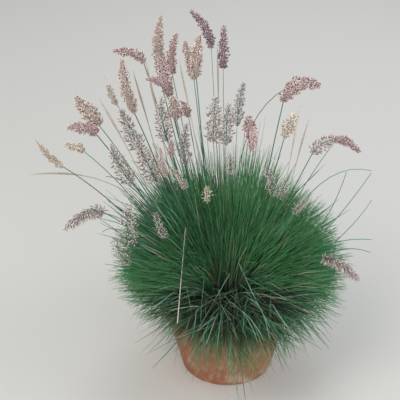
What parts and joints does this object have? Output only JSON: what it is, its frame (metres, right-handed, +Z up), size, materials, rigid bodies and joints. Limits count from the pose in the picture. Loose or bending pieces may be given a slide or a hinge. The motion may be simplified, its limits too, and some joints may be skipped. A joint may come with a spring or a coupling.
{
  "type": "potted ruby grass",
  "caption": "Clump of ruby grass in a plain clay pot: a dome of fine blue-green leaves with silky pink, mauve and cream flower heads on thin stalks.",
  "frame": {"origin": "middle of the pot's underside, on the surface that it stands on", "axes": "+Z up along the pot's axis, -Y towards the side that the picture shows, +X to the right as seen from there"},
  "size_m": [0.6135, 0.4942, 0.6662],
  "materials": {
    "terracotta": "unglazed fired clay, matt, faintly mottled with lime bloom",
    "compost": "dark fibrous bark and peat compost, matt and crumbly",
    "leaf": "blue-green living grass leaf, satin, paler towards the tip",
    "head_cream": "silky ripe spikelets, cream with faint pink",
    "head_pink": "silky spikelets, dusty pink",
    "head_mauve": "silky young spikelets, dark mauve",
    "head_silver": "open spikelets, silvery mauve",
    "head_dried": "tufts of dry spikelets, straw cream",
    "straw": "dry dead straw, matt"
  },
  "bodies": {
    "root": {"pot": "terracotta", "soil": "compost", "tuft_right": "leaf", "tuft_back_right": "leaf", "tuft_back": "leaf", "tuft_back_left": "leaf", "tuft_left": "leaf", "tuft_front_left": "leaf", "tuft_front": "leaf", "tuft_front_right": "leaf", "head_01": "head_cream", "head_02": "head_pink", "head_03": "head_pink", "head_04": "head_pink", "head_05": "head_pink", "head_06": "head_cream", "head_07": "head_dried", "head_08": "head_pink", "head_09": "head_pink", "head_10": "head_cream", "head_11": "head_dried", "head_12": "head_mauve", "head_13": "head_silver", "head_14": "head_silver", "head_15": "head_silver", "head_16": "head_silver", "head_17": "head_cream", "head_18": "head_pink", "head_19": "head_pink", "head_20": "head_silver", "head_21": "head_pink", "head_22": "head_cream", "head_23": "head_mauve", "head_24": "head_mauve", "head_25": "head_silver", "head_26": "head_silver", "head_27": "head_silver", "head_28": "head_pink", "head_29": "head_pink", "head_30": "head_pink", "head_31": "head_dried", "head_32": "head_silver", "head_33": "head_pink", "head_34": "head_mauve", "head_35": "head_silver", "head_36": "head_pink", "head_37": "head_silver", "head_38": "head_silver", "head_39": "head_pink", "head_40": "head_pink", "head_41": "head_silver", "head_42": "head_silver", "head_43": "head_silver", "head_44": "head_dried", "straws_left": "straw", "straws_back": "straw", "straws_right": "straw"}
  },
  "joints": []
}
